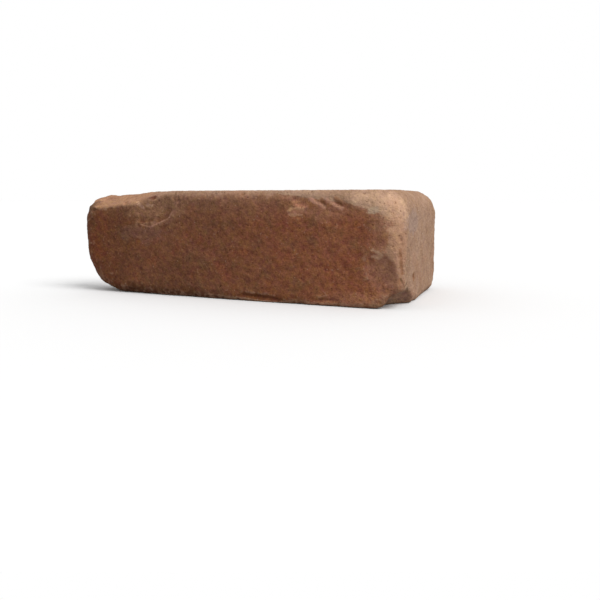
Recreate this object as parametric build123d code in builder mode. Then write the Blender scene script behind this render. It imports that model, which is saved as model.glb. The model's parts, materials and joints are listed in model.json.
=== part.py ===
"""Corner brick slip: an L of fired clay that turns a wall's corner.

It is sawn from one whole worn brick, so it is modelled the way it is made. The worn brick comes first, as a
loft of rounded outlines from bed to bed. Spalls are scooped out of its face, and two saw cuts then take the
inside away and leave the stretcher leg and the header leg.

Millimetres, +Z up. X runs along the stretcher face and Y through the brick. The fair stretcher face looks
along -Y and the fair header face along +X. The origin is on the lower bed, in the middle of the whole brick.
"""

from build123d import *
from math import cos, radians, sin, sqrt
import os

# Whole brick
brick_length = 215.0
brick_width = 102.5
brick_height = 65.0

# Legs that the saw leaves, and the round that the rim of the disc leaves between them
stretcher_leg = 24.0
header_leg = 24.0
saw_round = 1.5

# Wear of the arrises along the lower bed, as the radius of the arc that each face ends in
front_lower_wear_at_far_end = 12.5
front_lower_wear_at_middle = 3.0
front_lower_wear_at_quoin = 4.6
header_lower_wear_at_quoin = 6.2
header_lower_wear_at_return = 6.6
far_end_lower_wear = 34.0
return_end_lower_wear = 16.0

# The same along the upper bed
front_upper_wear_at_far_end = 9.8
front_upper_wear_at_middle = 8.4
front_upper_wear_at_quoin = 10.8
header_upper_wear_at_quoin = 14.7
header_upper_wear_at_return = 19.4
far_end_upper_wear = 22.0
return_end_upper_wear = 18.0

# Share of such an arc that the bed has lost to wear, which leaves a soft edge round the bed
bed_loss = 0.12

# Wear of the upright arrises, at the lower and the upper bed
quoin_lower_wear = 4.0
quoin_upper_wear = 17.0
far_arris_lower_wear = 15.0
far_arris_upper_wear = 9.0
return_arris_lower_wear = 9.0
return_arris_upper_wear = 12.0

# How much the fair faces swell from their edges to mid-height, and the stretcher face from its ends
face_crown = 0.6
face_bow = 0.5

# Distances of the outlines from each bed, as shares of the height, close together where the arrises turn
outline_shares = (0.0, 0.018, 0.046, 0.086, 0.146, 0.23, 0.32, 0.43)

# Break that has taken the upper arris at the far end, and the bed behind it
break_from_end = 5.0
break_below_top = 6.4
break_width = 90.0
break_depth = 4.1
break_slope = 75.0

# Scar in the stretcher face, beside the break
scar_from_end = 57.5
scar_below_top = 4.5
scar_width = 36.0
scar_depth = 2.3

# Row of flakes off the upper arris of the stretcher face, from the one nearest the quoin. Each is larger than
# the last, by the growth as a share of the first.
flake_count = 3
flake_spacing = 10.5
flake_from_quoin = 38.5
flake_below_top = 5.0
flake_width = 11.0
flake_depth = 1.1
flake_growth = 0.25
flake_slope = 20.0

# Hollow in the stretcher face beside the quoin
hollow_from_quoin = 11.0
hollow_over_bed = 21.0
hollow_width = 20.0
hollow_depth = 1.6

# Chip off the foot of the quoin. Its width and depth are measured as if the corner there were still sharp.
chip_width = 63.5
chip_depth = 11.8
chip_slope = -54.0
chip_turn = 90.0

front = -brick_width / 2
back = brick_width / 2
far_end = -brick_length / 2
quoin = brick_length / 2
# Room that a cut keeps past the brick
clear_of_brick = 10.0


def arc_inset(height, radius):
    """How far a face stands in from its plane, at a height over the bed where its arris is an arc."""
    above = height + bed_loss * radius
    if above >= radius:
        return 0.0
    return radius - sqrt(radius**2 - (radius - above) ** 2)


def inset(height, lower_wear, upper_wear):
    """How far a face stands in at a height: its two worn arrises, and the crown between them."""
    worn = arc_inset(height, lower_wear) + arc_inset(brick_height - height, upper_wear)
    from_middle = abs(2 * height / brick_height - 1)
    return worn + face_crown * from_middle**2


def between(height, lower, upper):
    """A wear that changes evenly from the lower bed to the upper one."""
    return lower + (upper - lower) * height / brick_height


def worn_outline(height):
    """The whole brick's rounded outline at a height, as a sketch on that level."""
    left = far_end + inset(height, far_end_lower_wear, far_end_upper_wear)
    deep = back - inset(height, return_end_lower_wear, return_end_upper_wear)
    near_far_end = front + face_bow + inset(height, front_lower_wear_at_far_end, front_upper_wear_at_far_end)
    near_middle = front + inset(height, front_lower_wear_at_middle, front_upper_wear_at_middle)
    near_quoin = front + face_bow + inset(height, front_lower_wear_at_quoin, front_upper_wear_at_quoin)
    right_at_quoin = quoin - inset(height, header_lower_wear_at_quoin, header_upper_wear_at_quoin)
    right_at_return = quoin - inset(height, header_lower_wear_at_return, header_upper_wear_at_return)
    far_arris = between(height, far_arris_lower_wear, far_arris_upper_wear)
    quoin_arris = between(height, quoin_lower_wear, quoin_upper_wear)
    return_arris = between(height, return_arris_lower_wear, return_arris_upper_wear)
    front_corners = ((left, near_far_end), (right_at_quoin, near_quoin))
    back_corners = ((right_at_return, deep), (left, deep))
    with BuildSketch(Plane.XY.offset(height)) as outline:
        with BuildLine():
            ThreePointArc(front_corners[0], ((left + right_at_quoin) / 2, near_middle), front_corners[1])
            Polyline(front_corners[1], *back_corners, front_corners[0])
        make_face()
        radii = (far_arris, quoin_arris, return_arris, far_arris)
        for corner, radius in zip(front_corners + back_corners, radii):
            fillet(outline.vertices().sort_by_distance(corner)[0], radius)
    return outline.sketch


def scoop(place, height, width, depth, slope=0.0, turn=0.0):
    """Takes the cap of a ball out of the stretcher face: a shallow round spall of a width and a depth.

    The ball comes in square to the face, or from above by a slope and from the quoin's side by a turn, both in
    degrees. A slope below 0 brings it in from under the bed.
    """
    radius = (width**2 / 4 + depth**2) / (2 * depth)
    reach = radius - depth
    outwards = reach * cos(radians(slope))
    aside, ahead = outwards * sin(radians(turn)), outwards * cos(radians(turn))
    with Locations((place + aside, front - ahead, height + reach * sin(radians(slope)))):
        Sphere(radius, mode=Mode.SUBTRACT)


lower_levels = [share * brick_height for share in outline_shares]
upper_levels = [brick_height - level for level in reversed(lower_levels)]

with BuildPart() as corner_slip:
    # Worn brick
    loft([worn_outline(level) for level in lower_levels + upper_levels])

    # Spalls
    scoop(far_end + break_from_end, brick_height - break_below_top, break_width, break_depth, break_slope)
    scoop(far_end + scar_from_end, brick_height - scar_below_top, scar_width, scar_depth)
    for number in range(flake_count):
        flake_place = quoin - flake_from_quoin - number * flake_spacing
        growth = 1 + number * flake_growth
        scoop(flake_place, brick_height - flake_below_top, growth * flake_width, growth * flake_depth, flake_slope)
    scoop(quoin - hollow_from_quoin, hollow_over_bed, hollow_width, hollow_depth)
    scoop(quoin, 0.0, chip_width, chip_depth, chip_slope, chip_turn)

    # Saw cuts
    with BuildSketch(Plane.XY.offset(-clear_of_brick)):
        with BuildLine():
            FilletPolyline(
                (far_end - clear_of_brick, back + clear_of_brick),
                (far_end - clear_of_brick, front + stretcher_leg),
                (quoin - header_leg, front + stretcher_leg),
                (quoin - header_leg, back + clear_of_brick),
                radius=(0, saw_round),
            )
            Line(
                (quoin - header_leg, back + clear_of_brick),
                (far_end - clear_of_brick, back + clear_of_brick),
            )
        make_face()
    extrude(amount=brick_height + 2 * clear_of_brick, mode=Mode.SUBTRACT)

corner_slip.part.label = "corner_slip"

os.makedirs("parts", exist_ok=True)
export_step(corner_slip.part, "parts/corner_slip.step")
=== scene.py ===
"""Looks of the corner brick slip: its worn skin, its sawn backs and the fired clay that both are made of.

The skin is made the way the real one came about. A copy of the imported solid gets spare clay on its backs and
is worn unevenly. Spalls and chips are knocked out of it, and the saw takes the spare clay off. It is then
remeshed finely, and its surface is roughened.

Metres throughout, apart from places and sizes given in millimetres, which MM turns into metres.
"""

import json
from math import atan2, radians
from random import Random

import bpy
import numpy as np
from mathutils import Matrix, Vector
from mathutils.bvhtree import BVHTree


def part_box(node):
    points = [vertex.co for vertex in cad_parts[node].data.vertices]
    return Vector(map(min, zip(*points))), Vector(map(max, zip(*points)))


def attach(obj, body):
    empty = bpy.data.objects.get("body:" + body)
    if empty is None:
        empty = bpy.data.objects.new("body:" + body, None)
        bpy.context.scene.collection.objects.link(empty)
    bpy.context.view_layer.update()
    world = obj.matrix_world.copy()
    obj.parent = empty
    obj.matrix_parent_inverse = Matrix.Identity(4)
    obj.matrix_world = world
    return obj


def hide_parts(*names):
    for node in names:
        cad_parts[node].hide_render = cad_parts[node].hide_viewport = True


MM = 0.001

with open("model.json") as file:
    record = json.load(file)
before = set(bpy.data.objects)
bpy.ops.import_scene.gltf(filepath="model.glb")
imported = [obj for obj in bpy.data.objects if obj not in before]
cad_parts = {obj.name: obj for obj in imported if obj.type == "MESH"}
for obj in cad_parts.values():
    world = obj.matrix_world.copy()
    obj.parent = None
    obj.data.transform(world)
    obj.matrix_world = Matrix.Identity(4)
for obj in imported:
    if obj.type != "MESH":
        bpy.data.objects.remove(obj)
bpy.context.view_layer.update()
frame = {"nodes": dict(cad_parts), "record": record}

low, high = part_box("corner_slip")
far_end, quoin = low.x, high.x
front, back = low.y, high.y
bed, top = low.z, high.z
mounts = {mount["name"]: Vector(mount["pos_m"]) for mount in frame["record"]["mounts"]}
stretcher_back = mounts["stretcher_back"].y
header_back = mounts["header_back"].x

# The skin's mesh, first for its main forms and then for its grain, and the faces that it ends with
ROUGH_GRID = 1.2 * MM
FINE_GRID = 0.62 * MM
MOST_TRIANGLES = 190_000

# How near counts as the same point or as on a plane, how nearly a face then looks along the plane's normal,
# and the least share by which a modifier moves a vertex
SAME_POINT = 0.002 * MM
ON_PLANE = 0.1 * MM
SQUARE_ON = 0.99
LEAST_SHARE = 0.002

# Turn of the skin up to which an edge is shaded smooth
SMOOTH_TURN = radians(50)

# Clay that the backs carry until they are sawn, how far the saw reaches past the slip, and its rim's round
SPARE_CLAY = 3 * MM
SAW_REACH = 20 * MM
SAW_ROUND = 1.5 * MM

# Wear of the arrises: how far in from the box's edges it reaches, and within what distance it is full
ARRIS_REACH = 14 * MM
ARRIS_CORE = 2 * MM

# How far outside the slip a blow starts, how far the chips along an arris stay off the stretcher face's
# ends, and how rough broken clay is, as a share of the least size of what was knocked out
BLOW_START = 100 * MM
CHIP_MARGIN = 14 * MM
SPALL_ROUGHNESS = 0.12
LEDGE_ROUGHNESS = 0.25
SAW_CHIP_ROUGHNESS = 0.3

# Share of the skin's grain that the sawn backs have
BACK_GRAIN = 0.25

# Edges that are rubbed soft, by places on them in millimetres: those of the break at the far end, of the chip
# at the foot of the quoin and of the hollow above it
BROKEN_EDGE = [(-100, -48, 56), (-90, -50, 57), (-80, -50, 57), (-70, -50, 58), (-62, -49, 60)]
CHIP_RIM = [(95, -50, 3), (98, -51, 6), (101, -50, 10), (104, -49, 12)]
HOLLOW_RIM = [(87, -51, 22), (90, -51, 12), (92, -51, 28), (98, -51, 28), (102, -50, 24), (104, -49, 19)]

# Where the skin is fuller than the solid, or leaner below 0, in millimetres: a place, a reach and an amount
SWELLS = [
    # Break: fuller on top, and rounder at its corner
    ((-97, -45, 56), 8, 1.5),
    ((-100, -32, 60), 11, 0.8),
    ((-102, -38, 58.5), 7, 1.0),
    ((-86, -30, 60), 9, 0.8),
    ((-105, -46, 54), 8, -1.2),
    # Lower arris: fuller under the far end, before the chip at the quoin and at the chip's top
    ((-95, -46, 8), 9, 1.0),
    ((95, -49, 1.5), 8, 2.4),
    ((100, -48, 5), 7, 1.6),
    ((98, -48, 1), 7, 1.6),
    ((105, -44, 9), 8, 2.6),
]


# Modelling


def only(piece):
    """Deselects all else and makes a piece the active one."""
    bpy.ops.object.select_all(action="DESELECT")
    piece.select_set(True)
    bpy.context.view_layer.objects.active = piece


def apply(piece, kind, **settings):
    """Adds a modifier of a kind to a piece, with its settings, and applies it."""
    only(piece)
    modifier = piece.modifiers.new(kind.title(), kind)
    for name, value in settings.items():
        setattr(modifier, name, value)
    bpy.ops.object.modifier_apply(modifier=modifier.name)


def relief(size, depth):
    """A cloudy texture for displacement, whose forms are about so large, with finer ones in it by depth."""
    texture = bpy.data.textures.new("relief", "CLOUDS")
    texture.noise_scale = size
    texture.noise_depth = depth
    return texture


def places_of(piece):
    """The piece's vertices as an array."""
    places = np.empty(len(piece.data.vertices) * 3)
    piece.data.vertices.foreach_get("co", places)
    return places.reshape(-1, 3)


def smooth_step(values, start, end):
    """0 at start and 1 at end, with an even turn between."""
    share = np.clip((values - start) / (end - start), 0, 1)
    return share * share * (3 - 2 * share)


def share_weights(piece, weights):
    """Gives the piece a vertex group named share, for a modifier to work by."""
    group = piece.vertex_groups.new(name="share")
    for index in np.flatnonzero(weights > LEAST_SHARE):
        group.add([int(index)], float(weights[index]), "REPLACE")


def displace(piece, weights, strength, texture=None, mid_level=0.5):
    """Moves the skin along its normals, by a share for each vertex of a strength in metres."""
    share_weights(piece, weights)
    apply(
        piece,
        "DISPLACE",
        texture=texture,
        texture_coords="LOCAL",
        vertex_group="share",
        strength=strength,
        mid_level=mid_level if texture else 0.0,
    )
    piece.vertex_groups.clear()


def press(piece, place, reach, amount):
    """Moves the skin round a place out (or in, below 0) by an amount that fades away, all in millimetres."""
    away = np.linalg.norm(places_of(piece) / MM - np.array(place), axis=1)
    displace(piece, smooth_step(away, reach, 0), amount * MM)


def soften(piece, spots, reach, times):
    """Rubs the edges round some spots soft, to a reach in millimetres."""
    places = places_of(piece) / MM
    away = np.min([np.linalg.norm(places - np.array(spot), axis=1) for spot in spots], axis=0)
    share_weights(piece, smooth_step(away, reach, 0.5 * reach))
    apply(piece, "SMOOTH", factor=0.8, iterations=times, vertex_group="share")
    piece.vertex_groups.clear()


def merged_copy(node, name):
    """A copy of a CAD node as a new piece, with its loose triangles merged."""
    piece = bpy.data.objects.new(name, node.data.copy())
    bpy.context.scene.collection.objects.link(piece)
    only(piece)
    bpy.ops.object.mode_set(mode="EDIT")
    bpy.ops.mesh.select_all(action="SELECT")
    bpy.ops.mesh.remove_doubles(threshold=SAME_POINT)
    bpy.ops.object.mode_set(mode="OBJECT")
    return piece


def add_spare_clay(piece):
    """Pushes both sawn backs out, so that the wear runs on past the planes of the saw."""
    backs = [
        (Vector((0, 1, 0)), stretcher_back),
        (Vector((-1, 0, 0)), -header_back),
    ]
    for outwards, plane in backs:
        only(piece)
        bpy.ops.object.mode_set(mode="EDIT")
        bpy.ops.mesh.select_mode(type="FACE")
        bpy.ops.mesh.select_all(action="DESELECT")
        bpy.ops.object.mode_set(mode="OBJECT")
        for face in piece.data.polygons:
            on_plane = abs(face.center.dot(outwards) - plane) < ON_PLANE
            face.select = on_plane and face.normal.dot(outwards) > SQUARE_ON
        bpy.ops.object.mode_set(mode="EDIT")
        bpy.ops.mesh.extrude_region_move(TRANSFORM_OT_translate={"value": outwards * SPARE_CLAY})
        bpy.ops.object.mode_set(mode="OBJECT")


def rub_flat(piece):
    """Rubs off what stands out of the solid's box."""
    places = np.clip(places_of(piece), np.array(low), np.array(high))
    piece.data.vertices.foreach_set("co", places.ravel())
    piece.data.update()


def wear(piece):
    """Wears the skin unevenly: gently on the faces, and more on the arrises."""
    places = places_of(piece)
    from_faces = np.minimum(places - np.array(low), np.array(high) - places)
    from_arris = np.sort(from_faces, axis=1)[:, 1]
    arris = smooth_step(from_arris, ARRIS_REACH, ARRIS_CORE)
    skin = np.ones(len(places))
    displace(piece, skin, 1.2 * MM, relief(34 * MM, 1), mid_level=0.3)
    displace(piece, arris, 1.5 * MM, relief(17 * MM, 1), mid_level=0.25)
    displace(piece, arris, 0.9 * MM, relief(6 * MM, 2), mid_level=0.3)
    soften(piece, BROKEN_EDGE, 9, 8)
    for place, reach, amount in SWELLS:
        press(piece, place, reach, amount)
    rub_flat(piece)


def lump(place, size, turn, roughness, facets=3):
    """A lumpy ball. What it overlaps is knocked out of the clay."""
    bpy.ops.object.select_all(action="DESELECT")
    bpy.ops.mesh.primitive_ico_sphere_add(subdivisions=facets, radius=0.5)
    ball = bpy.context.object
    ball.matrix_world = Matrix.Translation(place) @ turn.to_matrix().to_4x4() @ Matrix.Diagonal((*size, 1))
    bpy.ops.object.transform_apply(location=True, rotation=True, scale=True)
    lumpy = relief(sorted(size)[1] * 0.25, 2)
    strength = roughness * min(size)
    apply(ball, "DISPLACE", texture=lumpy, texture_coords="LOCAL", strength=strength, mid_level=0.5)
    return ball


def struck_place(piece, place, way):
    """Where a blow meets the piece, the skin's normal there, and how a lump stands upright on it."""
    hit, point, normal, _ = piece.ray_cast(place - way * BLOW_START, way)
    if not hit:
        raise ValueError(f"the blow at {place} misses the slip")
    return point, normal, normal.to_track_quat("Z", "Y")


def spall(piece, place, way, wide, tall, deep, turn=0.0, facets=3):
    """A lump for a dished hollow, where a blow meets the piece. Turn is its slant in degrees.

    Its width, height and depth are in millimetres. It is the tip of an egg whose half is three times as long
    as the hollow is deep.
    """
    point, normal, upright = struck_place(piece, place, way)
    half_length = 3 * deep
    opening = (1 - (1 - deep / half_length) ** 2) ** 0.5
    size = Vector((wide / opening, tall / opening, 2 * half_length)) * MM
    slant = upright @ Matrix.Rotation(radians(turn), 3, "Z").to_quaternion()
    return lump(point + normal * (half_length - deep) * MM, size, slant, SPALL_ROUGHNESS, facets)


def ledge(piece, place, way, wide, tall, deep, turn=0.0):
    """A lump for a flake that has come off under a steep wall, and runs out to nothing below it.

    The wall is on its upper side, or where turn takes that. The lump is taller and deeper than the flake,
    because it leans out of the clay.
    """
    point, _, upright = struck_place(piece, place, way)
    lean = atan2(deep, 0.6 * tall)
    slant = Matrix.Rotation(radians(turn), 3, "Z") @ Matrix.Rotation(-lean, 3, "X")
    size = Vector((wide, 1.3 * tall, 1.5 * deep)) * MM
    return lump(point, size, upright @ slant.to_quaternion(), LEDGE_ROUGHNESS)


def seen_spalls(piece):
    """The spalls that the photograph shows, besides those of the solid."""

    def on_stretcher(make, x, z, *sizes, **more):
        return make(piece, Vector((x * MM, front, z * MM)), Vector((0, 1, 0)), *sizes, **more)

    def on_header(make, y, z, *sizes, **more):
        return make(piece, Vector((quoin, y * MM, z * MM)), Vector((-1, 0, 0)), *sizes, **more)

    return [
        # Recess under the upper arris, and the ledges that run down from it towards the quoin
        on_stretcher(spall, 50.0, 57.8, 12, 7, 1.2, turn=-15),
        on_stretcher(ledge, 45.5, 49.8, 10, 3, 0.5, turn=4),
        on_stretcher(ledge, 56.5, 59.5, 7, 2.5, 0.6, turn=-35),
        on_stretcher(ledge, 61.5, 56.8, 7, 3, 0.7, turn=-45),
        on_stretcher(ledge, 70.0, 57.5, 10, 3, 0.8, turn=-26),
        on_stretcher(ledge, 67.0, 53.0, 12, 3, 0.4, turn=-10),
        # Scar beside the break, with its ridges and with the tool marks above it
        on_stretcher(ledge, -57.0, 47.5, 15, 5, 1.1, turn=176),
        on_stretcher(ledge, -42.5, 50.5, 16, 6, 1.3, turn=218),
        on_stretcher(ledge, -72.0, 58.0, 12, 4, 1.1, turn=150),
        on_stretcher(spall, -49.5, 61.0, 6, 4, 1.1),
        on_stretcher(spall, -35.0, 61.0, 1.8, 7, 0.7),
        on_stretcher(spall, -32.0, 60.6, 1.6, 8, 0.9),
        on_stretcher(spall, -28.8, 61.2, 1.8, 6, 0.7),
        on_stretcher(spall, -80.5, 59.5, 4, 3, 1.2),
        on_stretcher(spall, -96.0, 53.0, 5, 4, 1.3),
        # Hollow beside the quoin up to its ridge, and the grooves and pits on the ridge
        on_stretcher(spall, 97.5, 19.0, 22, 14, 1.1, turn=-56),
        on_stretcher(spall, 91.5, 26.5, 8, 3, 0.5, turn=-15),
        on_stretcher(spall, 105.4, 25.0, 1.9, 15, 0.9, turn=4),
        on_stretcher(spall, 105.4, 38.3, 2.2, 3, 0.9),
        on_stretcher(spall, 104.4, 49.6, 2.2, 3, 0.8),
        on_stretcher(spall, 106.3, 16.0, 1.8, 7, 1.1, turn=24),
        # Breaks within the chip at the foot
        on_stretcher(spall, 99.5, 6.0, 7, 5, 0.9, turn=30),
        on_stretcher(spall, 104.0, 8.5, 6, 4, 0.8, turn=-20),
        on_stretcher(ledge, 95.5, 3.5, 8, 4, 0.8, turn=-40),
        # Strips broken off the lower arris
        on_stretcher(ledge, 22.0, 2.5, 32, 4, 1.3, turn=-3),
        on_stretcher(ledge, 64.0, 3.0, 20, 4, 0.9, turn=2),
        # Header: beside the crack, at the rusty pit and at the upper arris
        on_header(spall, -38.0, 13.0, 2.0, 7, 0.9, turn=-20),
        on_header(spall, -22.5, 15.8, 4, 4, 1.1),
        on_header(spall, 4.0, 59.0, 8, 5, 0.8),
    ]


def chips(piece):
    """Small chips along the arrises, struck from outside towards the middle of the clay."""
    rng = Random(7)
    far, near = far_end + CHIP_MARGIN, quoin - CHIP_MARGIN
    arrises = [
        (12, Vector((far, front, top)), Vector((near, front, top)), Vector((0, 1, -1))),
        (18, Vector((far, front, bed)), Vector((near, front, bed)), Vector((0, 1, 1))),
        (8, Vector((quoin, front, 14 * MM)), Vector((quoin, front, 48 * MM)), Vector((-1, 1, 0))),
        (8, Vector((quoin, front, top)), Vector((quoin, back, top)), Vector((-1, 0, -1))),
        (10, Vector((quoin, -20 * MM, bed)), Vector((quoin, back, bed)), Vector((-1, 0, 1))),
        (9, Vector((quoin, back, bed)), Vector((quoin, back, top)), Vector((-1, -1, 0))),
        (7, Vector((far_end, front, bed)), Vector((far_end, front, top)), Vector((1, 1, 0))),
    ]
    lumps = []
    for count, start, end, inwards in arrises:
        for _ in range(count):
            place = start.lerp(end, rng.uniform(0.08, 0.92))
            sizes = [rng.uniform(2.0, 5.0), rng.uniform(1.6, 3.6), rng.uniform(0.3, 0.8)]
            turn = rng.uniform(0, 180)
            lumps.append(spall(piece, place, inwards.normalized(), *sizes, turn=turn, facets=2))
    return lumps


def saw_chips():
    """Small chips along the edges that the saw leaves, and pits that it opens in the backs.

    Two in three are on the stretcher back, and the others on the header back.
    """
    rng = Random(11)
    lumps = []
    for number in range(72):
        height = rng.choice([bed, top, rng.uniform(bed, top)])
        if number % 3:
            place = Vector((rng.uniform(far_end + 6 * MM, header_back), stretcher_back, height))
        else:
            place = Vector((header_back, rng.uniform(stretcher_back, back - 4 * MM), height))
        size = Vector([rng.uniform(1.0, 3.4) * MM for _ in range(3)])
        turn = Vector([rng.uniform(-1, 1) for _ in range(3)]).to_track_quat("Z", "Y")
        lumps.append(lump(place, size, turn, SAW_CHIP_ROUGHNESS, facets=2))
    return lumps


def saw_block():
    """The block that the saw takes out of the brick, up to the planes of the two back mounts."""
    block_low = Vector((far_end - SAW_REACH, stretcher_back, bed - SAW_REACH))
    block_high = Vector((header_back, back + SAW_REACH, top + SAW_REACH))
    bpy.ops.object.select_all(action="DESELECT")
    bpy.ops.mesh.primitive_cube_add(size=1, location=(block_low + block_high) / 2)
    block = bpy.context.object
    block.scale = block_high - block_low
    bpy.ops.object.transform_apply(location=True, rotation=True, scale=True)
    bpy.ops.object.mode_set(mode="EDIT")
    bpy.ops.mesh.select_mode(type="EDGE")
    bpy.ops.mesh.select_all(action="DESELECT")
    bpy.ops.object.mode_set(mode="OBJECT")
    for edge in block.data.edges:
        ends = [block.data.vertices[index].co for index in edge.vertices]
        edge.select = all(
            abs(end.x - header_back) < ON_PLANE and abs(end.y - stretcher_back) < ON_PLANE
            for end in ends
        )
    bpy.ops.object.mode_set(mode="EDIT")
    bpy.ops.mesh.bevel(offset=SAW_ROUND, segments=6, affect="EDGES")
    bpy.ops.object.mode_set(mode="OBJECT")
    return block


def knock_out(piece, lumps):
    """Takes lumps out of a piece in one go, and deletes them."""
    heap = bpy.data.collections.new("lumps")
    for ball in lumps:
        heap.objects.link(ball)
    difference = {"operation": "DIFFERENCE", "operand_type": "COLLECTION", "solver": "EXACT"}
    apply(piece, "BOOLEAN", collection=heap, **difference)
    for ball in lumps:
        bpy.data.objects.remove(ball)
    bpy.data.collections.remove(heap)


def roughen(piece):
    """Gives the skin its grain and pits, and the sawn backs a little of both."""
    places = places_of(piece)
    off_back = np.maximum(stretcher_back - places[:, 1], places[:, 0] - header_back)
    skin = BACK_GRAIN + (1 - BACK_GRAIN) * smooth_step(off_back, 0.3 * MM, 1.2 * MM)
    displace(piece, skin, 0.5 * MM, relief(5 * MM, 2), mid_level=0.65)
    displace(piece, skin, 0.45 * MM, relief(1.7 * MM, 1), mid_level=0.65)


def keep(piece, name, values):
    """Keeps a number on each vertex, for the material to read."""
    kept = piece.data.attributes.new(name, "FLOAT", "POINT")
    kept.data.foreach_set("value", values)


def note_height(piece):
    """Keeps how many millimetres each vertex stands proud of a smoothed skin."""
    smooth = bpy.data.objects.new("smooth_skin", piece.data.copy())
    bpy.context.scene.collection.objects.link(smooth)
    apply(smooth, "SMOOTH", factor=1.0, iterations=24)
    normals = np.empty(len(piece.data.vertices) * 3)
    piece.data.vertices.foreach_get("normal", normals)
    proud = ((places_of(piece) - places_of(smooth)) * normals.reshape(-1, 3)).sum(axis=1)
    bpy.data.objects.remove(smooth)
    keep(piece, "proud", proud / MM)


def note_loss(piece, intact):
    """Keeps how many millimetres of clay each vertex has lost since the intact skin was there."""
    loss = [intact.find_nearest(vertex.co)[3] for vertex in piece.data.vertices]
    keep(piece, "loss", np.array(loss) / MM)


def worn_slip():
    """The slip's skin and sawn backs, as one closed piece."""
    piece = merged_copy(frame["nodes"]["corner_slip"], "worn_slip")
    add_spare_clay(piece)
    apply(piece, "REMESH", mode="VOXEL", voxel_size=ROUGH_GRID)
    wear(piece)
    intact = BVHTree.FromObject(piece, bpy.context.evaluated_depsgraph_get())
    knock_out(piece, seen_spalls(piece) + chips(piece) + saw_chips() + [saw_block()])
    apply(piece, "REMESH", mode="VOXEL", voxel_size=FINE_GRID)
    apply(piece, "SMOOTH", factor=0.5, iterations=1)
    soften(piece, CHIP_RIM, 6, 36)
    soften(piece, HOLLOW_RIM, 5, 16)
    roughen(piece)
    triangles = sum(len(face.vertices) - 2 for face in piece.data.polygons)
    apply(piece, "DECIMATE", ratio=min(1, MOST_TRIANGLES / triangles))
    rub_flat(piece)
    note_height(piece)
    note_loss(piece, intact)
    only(piece)
    bpy.ops.object.shade_smooth_by_angle(angle=SMOOTH_TURN)
    return piece


# Materials

# Share of a distance square to its face that a line on the skin leaves out
DEPTH_LEFT_OUT = 0.7


class Value:
    """A number or colour on its way through a material: arithmetic on numbers adds Math nodes."""

    def __init__(self, finish, socket):
        self.finish = finish
        self.socket = socket

    def math(self, operation, first, second):
        return self.finish.node("ShaderNodeMath", {"operation": operation}, {0: first, 1: second})

    def __add__(self, other):
        return self.math("ADD", self, other)

    def __sub__(self, other):
        return self.math("SUBTRACT", self, other)

    def __rsub__(self, other):
        return self.math("SUBTRACT", other, self)

    def __mul__(self, other):
        return self.math("MULTIPLY", self, other)

    def __lt__(self, other):
        return self.math("LESS_THAN", self, other)

    def __gt__(self, other):
        return self.math("GREATER_THAN", self, other)

    def or_lower(self, other):
        return self.math("MINIMUM", self, other)

    def or_higher(self, other):
        return self.math("MAXIMUM", self, other)

    __radd__ = __add__
    __rmul__ = __mul__


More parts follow.
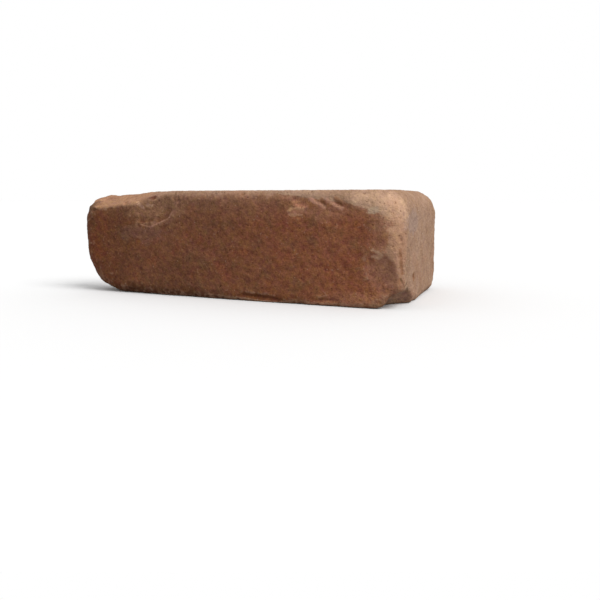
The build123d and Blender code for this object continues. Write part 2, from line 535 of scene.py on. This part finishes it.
class Finish:
    """The nodes of a material, or of the world, with places given in millimetres."""

    def __init__(self, owner, shader):
        owner.use_nodes = True
        self.tree = owner.node_tree
        self.shader = self.tree.nodes[shader]
        coordinates = self.node("ShaderNodeTexCoord", {}, {}, "Object")
        self.place = self.vector("SCALE", coordinates, Scale=1 / MM)

    def node(self, kind, settings, sockets, output=0):
        """Adds a node: its settings, a ramp's stops among them, then the values or links of its sockets."""
        node = self.tree.nodes.new(kind)
        stops = settings.pop("stops", [])
        for name, value in settings.items():
            setattr(node, name, value)
        for number, (position, colour) in enumerate(stops):
            elements = node.color_ramp.elements
            stop = elements[number] if number < 2 else elements.new(position)
            stop.position = position
            stop.color = colour
        for name, value in sockets.items():
            if isinstance(value, Value):
                self.tree.links.new(value.socket, node.inputs[name])
            else:
                node.inputs[name].default_value = value
        return Value(self, node.outputs[output])

    def vector(self, operation, first, second=(0, 0, 0), output=0, **sockets):
        """A Vector Math node."""
        return self.node(
            "ShaderNodeVectorMath", {"operation": operation}, {0: first, 1: second, **sockets}, output
        )

    def axes(self):
        """The place's X, Y and Z."""
        return [self.node("ShaderNodeSeparateXYZ", {}, {0: self.place}, axis) for axis in range(3)]

    def kept(self, name):
        """A number that the mesh keeps on each vertex."""
        return self.node("ShaderNodeAttribute", {"attribute_name": name}, {}, "Fac")

    def seen(self):
        """1 where the camera sees the surface, also by a reflection, and 0 where it only throws light."""
        rays = ["Is Camera Ray", "Is Glossy Ray", "Is Transmission Ray"]
        camera, glossy, through = [self.node("ShaderNodeLightPath", {}, {}, ray) for ray in rays]
        return camera.or_higher(glossy).or_higher(through)

    def noise(self, size, seed, detail=2.0, roughness=0.5, stretch=(1, 1, 1)):
        """Noise about 0 whose forms are about so many millimetres large, longer where stretched."""
        sockets = {
            "Vector": self.vector("DIVIDE", self.place, stretch),
            "W": seed,
            "Scale": 1 / size,
            "Detail": detail,
            "Roughness": roughness,
        }
        return self.node("ShaderNodeTexNoise", {"noise_dimensions": "4D"}, sockets) - 0.5

    def grits(self, size, seed, share):
        """Grains about so many millimetres large, 1 in them, at a share of the places that may hold one."""
        sockets = {"Vector": self.vector("ADD", self.place, (100 * seed, 0, 0)), "Scale": 0.5 / size}
        away = self.node("ShaderNodeTexVoronoi", {}, sockets, "Distance")
        colour = self.node("ShaderNodeTexVoronoi", {}, sockets, "Color")
        chance = self.node("ShaderNodeSeparateColor", {}, {0: colour})
        return self.step(away, 0.4, 0.25) * (chance < share)

    def step(self, value, start, end):
        """0 at start and 1 at end, with an even turn between."""
        return self.node(
            "ShaderNodeMapRange",
            {"interpolation_type": "SMOOTHSTEP"},
            {"Value": value, "From Min": start, "From Max": end},
        )

    def profile(self, value, stops):
        """A number that runs straight from stop to stop, each a value and the number there."""
        least, span = stops[0][0], stops[-1][0] - stops[0][0]
        most = max(number for _, number in stops)
        greys = [((at - least) / span, rgb(*[number / most] * 3)) for at, number in stops]
        return self.node("ShaderNodeValToRGB", {"stops": greys}, {0: (value - least) * (1 / span)}) * most

    def spot(self, centre, size, ragged=0.0):
        """A soft patch in the shape of an egg, 1 in its middle, whose edge a noise makes ragged."""
        away = self.vector("SUBTRACT", self.place, centre)
        away = self.vector("DIVIDE", away, size)
        return self.step(self.vector("LENGTH", away, output="Value") + ragged, 1.25, 0.6)

    def stroke(self, points, width, ragged=0.0, facing=(0, 1, 0)):
        """A soft line through some points, 1 along its middle, as wide as given at half of it.

        Distances along the way that the line's face looks count for less, so the line follows the relief.
        """
        facing = Vector(facing)
        depth = self.vector("DOT_PRODUCT", self.place, facing * DEPTH_LEFT_OUT, output="Value")
        place = self.vector("SUBTRACT", self.place, self.vector("SCALE", facing, Scale=depth))
        points = [Vector(point) - facing * facing.dot(Vector(point)) * DEPTH_LEFT_OUT for point in points]
        away = None
        for start, end in zip(points, points[1:]):
            along = end - start
            from_start = self.vector("SUBTRACT", place, start)
            share = self.vector("DOT_PRODUCT", from_start, along / along.length_squared, output="Value")
            share = self.node("ShaderNodeClamp", {}, {"Value": share})
            nearest = self.vector("SCALE", along, Scale=share)
            beside = self.vector("DISTANCE", from_start, nearest, output="Value")
            away = beside if away is None else away.or_lower(beside)
        return self.step(away + ragged, 0.8 * width, 0.2 * width)

    def mix(self, share, under, over, blend="MIX"):
        """One colour over another by a share."""
        settings = {"data_type": "RGBA", "blend_type": blend}
        return self.node("ShaderNodeMix", settings, {0: share, 6: under, 7: over}, 2)

    def shade(self, colour, value, hue=0.5, saturation=1.0):
        """A colour made lighter or darker by a factor, with its hue and saturation shifted."""
        sockets = {"Color": colour, "Value": value, "Hue": hue, "Saturation": saturation}
        return self.node("ShaderNodeHueSaturation", {}, sockets)

    def set(self, **sockets):
        """Feeds the shader's sockets; an underscore in a name stands for a space."""
        for name, value in sockets.items():
            socket = self.shader.inputs[name.replace("_", " ")]
            if isinstance(value, Value):
                self.tree.links.new(value.socket, socket)
            else:
                socket.default_value = value


def rgb(red, green, blue):
    return (red, green, blue, 1)


# By the height over the bed in millimetres: how far the dust reaches from the quoin over the stretcher face,
# and how much of it lies along the whole upper arris. Round the quoin and along the upper arris it is partly
# painted highlight, where they catch the light
DUST_AND_HIGHLIGHT_REACH = [
    (0, 0.5), (15, 1.7), (21, 4), (26, 6.5), (31, 12),
    (38, 9), (48, 9.5), (53, 16), (57, 30), (65, 90),
]
DUST_AND_HIGHLIGHT_ON_ARRIS = [(46, 0), (53, 0.1), (58, 0.2), (60, 0.27), (62, 0.52), (63.5, 0.78), (65, 1)]

# Lines on the skin, by places along them in millimetres
# Painted highlight along the scar's rim and its end, where the rim catches the light
SCAR_RIM_HIGHLIGHT = [(-60, -51, 44.2), (-52.2, -51, 42.6), (-45.5, -51, 45.8), (-38.5, -51, 49)]
SCAR_END_HIGHLIGHT = [(-38.5, -51, 49), (-31, -50, 59)]
# Painted shadow on the ledges' steep walls
LEDGE_WALL_SHADOWS = [
    [(61, -50, 59.3), (64.3, -51, 55.8)],
    [(69, -50, 60), (74.8, -51, 56.7)],
]
LEDGE_RIMS = [
    [(54, -50, 60), (58, -51, 57.8), (62.5, -51, 55.6)],
    [(64.2, -50, 59), (68, -51, 57), (72.7, -51, 55)],
]
RECESS_RIMS = [
    [(40.8, -51, 53), (43, -51, 54.8), (49.8, -51, 54.5)],
    [(41.5, -51, 51.5), (44, -51, 50.8), (49, -51, 51)],
]
SMEARS = [
    [(90.5, -51, 29), (94, -51, 28.3)],
    [(90.5, -51, 32.5), (95.5, -51, 30)],
    [(-62, -50, 57.5), (-58, -50, 54.7)],
    [(-55.5, -49, 56), (-51.5, -49, 56)],
]
TOOL_MARKS = [
    [(-34.4, -48, 63.8), (-33.3, -50, 61)],
    [(-31.7, -48, 63.3), (-30.6, -50, 60)],
]
CRACK = [(105.4, -48.2, 17.2), (106.4, -45.5, 12.6), (107.3, -40, 14.5)]
GROOVE = [(104.8, -47.3, 33), (105.7, -47, 26), (106.2, -46.8, 20)]


class FiredClay(Finish):
    """Worn red-brown clay: pale and dusty on the arrises and the header, orange-red where it is sawn. It has
    painted highlight on the quoin and the upper arris, and painted shade in a few places.
    """

    def __init__(self, material):
        super().__init__(material, "Principled BSDF")
        self.x, self.y, self.z = self.axes()
        self.from_quoin = quoin / MM - self.x
        self.from_front = self.y - front / MM
        self.proud = self.kept("proud")
        self.loss = self.kept("loss")

        # Noises, from the largest forms to the smallest, and then those for edges and for run-down dust
        self.patches = self.noise(30, 1, detail=2)
        self.blotches = self.noise(10, 2, detail=3, roughness=0.6)
        self.mottle = self.noise(3.6, 6, detail=2, roughness=0.6)
        self.tint = self.noise(2.4, 8, detail=2, roughness=0.7)
        self.grain = self.noise(1.4, 3, detail=3, roughness=0.8)
        self.specks = self.noise(1.2, 4, detail=1)
        self.ragged = self.noise(6, 5, detail=5, roughness=0.7)
        self.streaks = self.noise(1.8, 9, detail=3, roughness=0.7, stretch=(1, 1, 3))

        # Faint arcs that the disc of the saw left
        from_disc = self.vector("DISTANCE", self.place, (-60, 10, -150), output="Value")
        sockets = {"W": from_disc, "Scale": 0.45, "Detail": 3}
        self.arcs = self.node("ShaderNodeTexNoise", {"noise_dimensions": "1D"}, sockets) - 0.5

        self.chipped = self.spot((103.5, -31, 4), (5, 11, 5.5), self.ragged * 2)
        # Dust, partly painted highlight on the quoin and the upper arris
        self.dust_and_highlight = self.dust_and_highlight_share()

    def patch(self, under, colour, share, centre, size, ragged):
        """A soft patch of a colour over another, by a share, with its edge more or less ragged."""
        return self.mix(self.spot(centre, size, self.ragged * ragged) * share, under, colour)

    def line(self, under, colour, share, points, width, ragged, facing=(0, 1, 0)):
        """A soft line of a colour over another, by a share."""
        return self.mix(self.stroke(points, width, ragged, facing) * share, under, colour)

    def fired_skin(self):
        """Browner and darker towards the far end, redder and lighter towards the quoin, partly as the clay's
        own tone and partly as painted light that falls off towards the far end, with red and olive patches.
        """
        skin = self.mix(
            self.step(self.patches, -0.15, 0.15), rgb(0.15, 0.059, 0.029), rgb(0.168, 0.067, 0.034)
        )
        # Redder and lighter towards the quoin: partly the clay's own tone, partly painted light
        quoin_tone_and_light = self.step(self.from_quoin + self.ragged * 30, 150, 20)
        skin = self.mix(quoin_tone_and_light * 0.85, skin, rgb(0.24, 0.085, 0.041))
        skin = self.mix(self.step(self.blotches, 0.02, 0.17) * 0.4, skin, rgb(0.2, 0.056, 0.026))
        skin = self.mix(self.step(self.blotches, -0.02, -0.17) * 0.4, skin, rgb(0.14, 0.074, 0.038))

        # Red at the far end, which is darker as a whole: partly its own tone, partly painted shade
        skin = self.patch(skin, rgb(0.22, 0.065, 0.034), 0.4, (-90, -51, 46), (6, 40, 10), 1.5)
        skin = self.patch(skin, rgb(0.18, 0.052, 0.026), 0.6, (-97, -51, 28), (6, 40, 12), 2)
        far_end_tone_and_shade = self.step(self.x + self.ragged * 30, -40, -100)
        skin = self.mix(far_end_tone_and_shade, skin, rgb(0.8, 0.72, 0.62), "MULTIPLY")

        # Lilac below the scar, and the olive of the scar itself
        skin = self.patch(skin, rgb(0.19, 0.1, 0.072), 0.35, (-60, -51, 39), (17, 40, 6), 4)
        return self.patch(skin, rgb(0.235, 0.115, 0.062), 0.8, (-49, -51, 53), (20, 40, 10), 3)

    def with_fresh_clay(self, skin):
        """Fresher clay in the spalls, orange under the ledges and along the foot, and brown in the hollow,
        with painted shade at the recess's dark end and along the lower arris.
        """
        fresh = self.step(self.loss, 0.35, 0.9) * self.step(self.from_front, 16, 8)
        skin = self.mix(fresh * 0.35, skin, rgb(0.26, 0.11, 0.06))

        # Below the ledges, in the recess, along its lower rim, and painted shade at its dark end, on the facet
        # that faces away from the light
        skin = self.patch(skin, rgb(0.33, 0.145, 0.085), 0.5, (62, -51, 54), (12, 20, 6), 3)
        skin = self.patch(skin, rgb(0.4, 0.175, 0.093), 0.8, (48.5, -51, 58), (5, 20, 4), 2)
        skin = self.patch(skin, rgb(0.38, 0.18, 0.1), 0.8, (45.5, -51, 53), (5, 20, 2), 2)
        # Painted shade at the recess's dark end
        skin = self.patch(skin, rgb(0.27, 0.105, 0.045), 0.9, (55.3, -51, 57.8), (3.4, 20, 3.2), 2)

        # At the foot, on the strip off the lower arris, in the hollow and in the chip
        skin = self.patch(skin, rgb(0.29, 0.125, 0.064), 0.8, (84, -51, 4), (26, 12, 5), 2)
        skin = self.patch(skin, rgb(0.24, 0.085, 0.035), 0.6, (22, -51, 3), (19, 12, 3), 1)
        skin = self.patch(skin, rgb(0.27, 0.122, 0.074), 0.7, (96, -51, 21), (11, 12, 9), 2)
        skin = self.mix(self.chipped * 0.8, skin, rgb(0.35, 0.195, 0.135))

        # Painted shade along the lower arris, darkest at the bed, from the far end to short of the quoin
        under = self.step(self.z + self.ragged * 5, 8, 1) * self.step(self.x, 65, 35)
        return self.mix(under, skin, rgb(0.58, 0.55, 0.52), "MULTIPLY")

    def dust_and_highlight_share(self):
        """Dust round the quoin, along the upper arris, on the header and on what stands proud. Round the quoin
        and along the upper arris it is partly painted highlight, where they catch the light.
        """
        fringe = self.ragged * 16 + self.grain * 7
        past_reach = self.from_quoin + fringe - self.profile(self.z, DUST_AND_HIGHLIGHT_REACH)
        on_quoin = self.step(past_reach, 3, -3).or_higher(self.step(past_reach, 14, -3) * 0.4)
        on_arris = self.profile(self.z + self.streaks * 7 + self.ragged * 7, DUST_AND_HIGHLIGHT_ON_ARRIS)
        on_header = self.step(self.from_front, 3, 7) * self.step(self.from_quoin, 30, 26)
        on_proud = self.step(self.proud, 0.06, 0.35) * 0.5
        dust_and_highlight = on_quoin.or_higher(on_arris).or_higher(on_header).or_higher(on_proud)
        return dust_and_highlight * (1 - self.chipped * 0.8)

    def dust_and_highlight_colour(self):
        """Tan, palest at the top of the quoin, where it is partly painted highlight, redder below that, and
        lilac in one place on the header.
        """
        tan = self.mix(
            self.step(self.blotches, -0.15, 0.15), rgb(0.31, 0.187, 0.118), rgb(0.345, 0.22, 0.15)
        )
        redder = self.step(self.patches + self.ragged * 0.5, 0.02, 0.14)
        tan = self.mix(redder * 0.4, tan, rgb(0.34, 0.185, 0.115))
        # Palest at the top of the quoin: partly pale dust, partly painted highlight where the rounding catches
        # the light
        tan = self.patch(tan, rgb(0.52, 0.33, 0.215), 0.8, (94, -51, 54), (19, 14, 13), 2)
        tan = self.patch(tan, rgb(0.6, 0.375, 0.25), 0.3, (104, -47, 55), (7, 8, 12), 3)
        tan = self.patch(tan, rgb(0.4, 0.215, 0.13), 0.55, (103, -51, 36), (9, 9, 22), 2)
        return self.patch(tan, rgb(0.31, 0.22, 0.178), 0.6, (107, -28, 47), (10, 13, 8), 5)

    def with_break(self, skin):
        """The orange clay of the break at the far end, short of the bed, and its soiled corner."""
        soiled = self.spot((-99, -47, 55.5), (5, 9, 4.5), self.ragged * 1.5)
        skin = self.mix(soiled * 0.8, skin, rgb(0.11, 0.06, 0.034))
        at_end = self.step(self.x, -92, -104)
        above = self.step(self.z + self.ragged * 4 - self.x * 0.07 - at_end * 3.5, 60.0, 62.2)
        beyond = self.step(self.x + self.ragged * 12, -56, -64)
        below_bed = self.step(self.z + self.ragged * 2, 64.9, 64.3)
        broken = above * beyond * (1 - soiled * 0.8) * below_bed
        return self.mix(broken * 0.9, skin, rgb(0.33, 0.175, 0.1))

    def with_marks(self, skin):
        """Painted highlight on the scar's rim, painted shadow on the ledges' walls, pale rims and smears, the
        dark crack and groove, and single spots.
        """
        thin = self.ragged * 1.2
        worn_away = self.ragged * 3 + self.grain * 3
        # Painted highlight along the scar's rim
        skin = self.line(skin, rgb(0.36, 0.185, 0.12), 0.6, SCAR_RIM_HIGHLIGHT, 1.1, thin)
        skin = self.line(skin, rgb(0.36, 0.185, 0.12), 0.3, SCAR_END_HIGHLIGHT, 0.9, thin)
        # Painted shadow on the ledges' walls
        for points in LEDGE_WALL_SHADOWS:
            skin = self.line(skin, rgb(0.24, 0.1, 0.052), 0.7, points, 2.6, thin)
        for points in LEDGE_RIMS:
            skin = self.line(skin, rgb(0.46, 0.24, 0.16), 0.8, points, 2.1, worn_away)
        for points in RECESS_RIMS:
            skin = self.line(skin, rgb(0.48, 0.26, 0.15), 0.7, points, 1.4, worn_away)
        for points in SMEARS:
            skin = self.line(skin, rgb(0.5, 0.3, 0.2), 0.65, points, 1.7, worn_away)
        for points in TOOL_MARKS:
            skin = self.line(skin, rgb(0.12, 0.06, 0.03), 0.8, points, 1.0, thin)
        skin = self.line(skin, rgb(0.14, 0.075, 0.04), 0.8, CRACK, 1.1, thin, facing=(0.7, -0.7, 0))

        # Red pit over the scar, pale dust beside the quoin, and rust on the header
        skin = self.patch(skin, rgb(0.14, 0.053, 0.032), 1.0, (-52, -47.6, 61.6), (3, 6, 2.2), 0.5)
        skin = self.patch(skin, rgb(0.5, 0.36, 0.25), 0.7, (90, -50, 53.5), (3, 8, 2), 4)
        skin = self.patch(skin, rgb(0.22, 0.1, 0.045), 0.8, (107.2, -22.3, 15.5), (4, 2.5, 3), 2)
        return self.line(skin, rgb(0.24, 0.105, 0.05), 0.7, GROOVE, 1.5, thin)

    def with_grain(self, skin):
        """Dirt and painted shade in what lies low, and the clay's grain and specks, which are calmer under the
        dust and painted highlight.
        """
        # Darker in what lies low: partly dirt, partly painted shade
        low_lying_dirt_and_shade = self.step(self.proud, -0.05, -0.4)
        skin = self.mix(low_lying_dirt_and_shade * 0.5, skin, rgb(0.55, 0.45, 0.4), "MULTIPLY")
        calm = 1 - self.dust_and_highlight * 0.45
        skin = self.shade(
            skin,
            1 + (self.mottle * 0.9 + self.grain * 1.4 + self.blotches * 0.35) * calm,
            hue=0.5 + (self.tint * 0.05 + self.mottle * 0.03 + self.grain * 0.02) * calm,
            saturation=1 + self.tint * 0.2,
        )
        skin = self.mix(self.step(self.specks, 0.17, 0.27) * 0.35, skin, rgb(0.42, 0.27, 0.19))
        pits = self.step(self.specks, -0.15, -0.24)
        return self.mix(pits * 0.75, skin, rgb(0.4, 0.3, 0.25), "MULTIPLY")

    def sawn_clay(self):
        """Orange-red clay with its grits and pits, paler where its edges are rubbed."""
        cut = self.mix(self.step(self.patches, -0.15, 0.15), rgb(0.38, 0.145, 0.075), rgb(0.43, 0.18, 0.1))
        cut = self.mix(self.step(self.blotches, 0.05, 0.15) * 0.3, cut, rgb(0.45, 0.22, 0.13))
        cut = self.mix(self.step(self.proud, 0.06, 0.35) * 0.5, cut, rgb(0.5, 0.27, 0.17))
        cut = self.shade(cut, 1 + self.arcs * 0.2 + self.grain * 0.6 + self.mottle * 0.3)
        cut = self.mix(self.grits(0.9, 1, 0.2) * 0.6, cut, rgb(0.5, 0.3, 0.19))
        cut = self.mix(self.grits(0.8, 2, 0.14) * 0.7, cut, rgb(0.2, 0.075, 0.045))
        cut = self.mix(self.grits(1.8, 3, 0.05) * 0.6, cut, rgb(0.33, 0.1, 0.05))
        pits = self.step(self.specks, -0.16, -0.24)
        return self.mix(pits * 0.7, cut, rgb(0.45, 0.4, 0.4), "MULTIPLY")


def fired_clay():
    """The slip's material: the skin in its layers, and the sawn clay on the planes of the saw."""
    material = bpy.data.materials.new("fired_clay")
    clay = FiredClay(material)
    skin = clay.with_fresh_clay(clay.fired_skin())
    # Dust over the skin, partly painted highlight on the quoin and the upper arris
    skin = clay.mix(clay.dust_and_highlight * 0.92, skin, clay.dust_and_highlight_colour())
    skin = clay.with_break(skin)
    skin = clay.with_marks(skin)
    skin = clay.with_grain(skin)
    sawn = (clay.y > stretcher_back / MM - 0.3) * (clay.x < header_back / MM + 0.3)
    surface = clay.mix(sawn, skin, clay.sawn_clay())
    height = clay.grain * (1 - sawn * 0.6) + clay.specks * 0.4 + clay.mottle * 0.8 + clay.arcs * sawn * 0.5
    bump = clay.node("ShaderNodeBump", {}, {"Strength": 0.8, "Distance": 0.8 * MM, "Height": height})
    clay.set(Base_Color=surface, Roughness=0.95, Specular_IOR_Level=0.12, Normal=bump)
    return material


# Stage

# Camera, from the photograph: its place, how far it looks down and turns from +Y in degrees, and its lens
CAMERA_PLACE = (0.1791, -0.3769, 0.0592)
CAMERA_DIP = 9.15
CAMERA_TURN = 21.91
CAMERA_LENS = 37.18

# Side that the key light comes from
KEY_SIDE = (0.62, -0.18, 0.76)


def stage():
    """A white floor and surround, which throw less light than the camera sees, so that shadows stay deep."""
    bpy.ops.object.select_all(action="DESELECT")
    bpy.ops.mesh.primitive_plane_add(size=30)
    floor = bpy.context.object
    floor.name = "floor"
    material = bpy.data.materials.new("floor_paint")
    paint = Finish(material, "Principled BSDF")
    white = paint.mix(paint.seen(), rgb(0.35, 0.35, 0.35), rgb(0.72, 0.72, 0.72))
    paint.set(Base_Color=white, Roughness=1.0, Specular_IOR_Level=0.0)
    floor.data.materials.append(material)

    world = bpy.data.worlds.new("surround")
    bpy.context.scene.world = world
    surround = Finish(world, "Background")
    surround.set(Color=rgb(1, 1, 1), Strength=0.8 + surround.seen() * 0.2)


def key_lamp():
    """A broad soft light, high on the header's side."""
    data = bpy.data.lights.new("key", "SUN")
    data.energy = 2.5
    data.angle = radians(35)
    lamp = bpy.data.objects.new("key", data)
    bpy.context.scene.collection.objects.link(lamp)
    lamp.rotation_euler = Vector(KEY_SIDE).to_track_quat("Z", "Y").to_euler()


def camera():
    """The photograph's view: about level with the upper bed, off the quoin's side."""
    data = bpy.data.cameras.new("camera")
    data.lens = CAMERA_LENS
    data.sensor_width = 36
    seen_from = bpy.data.objects.new("camera", data)
    bpy.context.scene.collection.objects.link(seen_from)
    seen_from.location = CAMERA_PLACE
    seen_from.rotation_euler = (radians(90 - CAMERA_DIP), 0, radians(CAMERA_TURN))
    bpy.context.scene.camera = seen_from


slip = worn_slip()
slip.data.materials.clear()
slip.data.materials.append(fired_clay())
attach(slip, "root")
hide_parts("corner_slip")

stage()
key_lamp()
camera()
bpy.context.scene.view_settings.view_transform = "Standard"
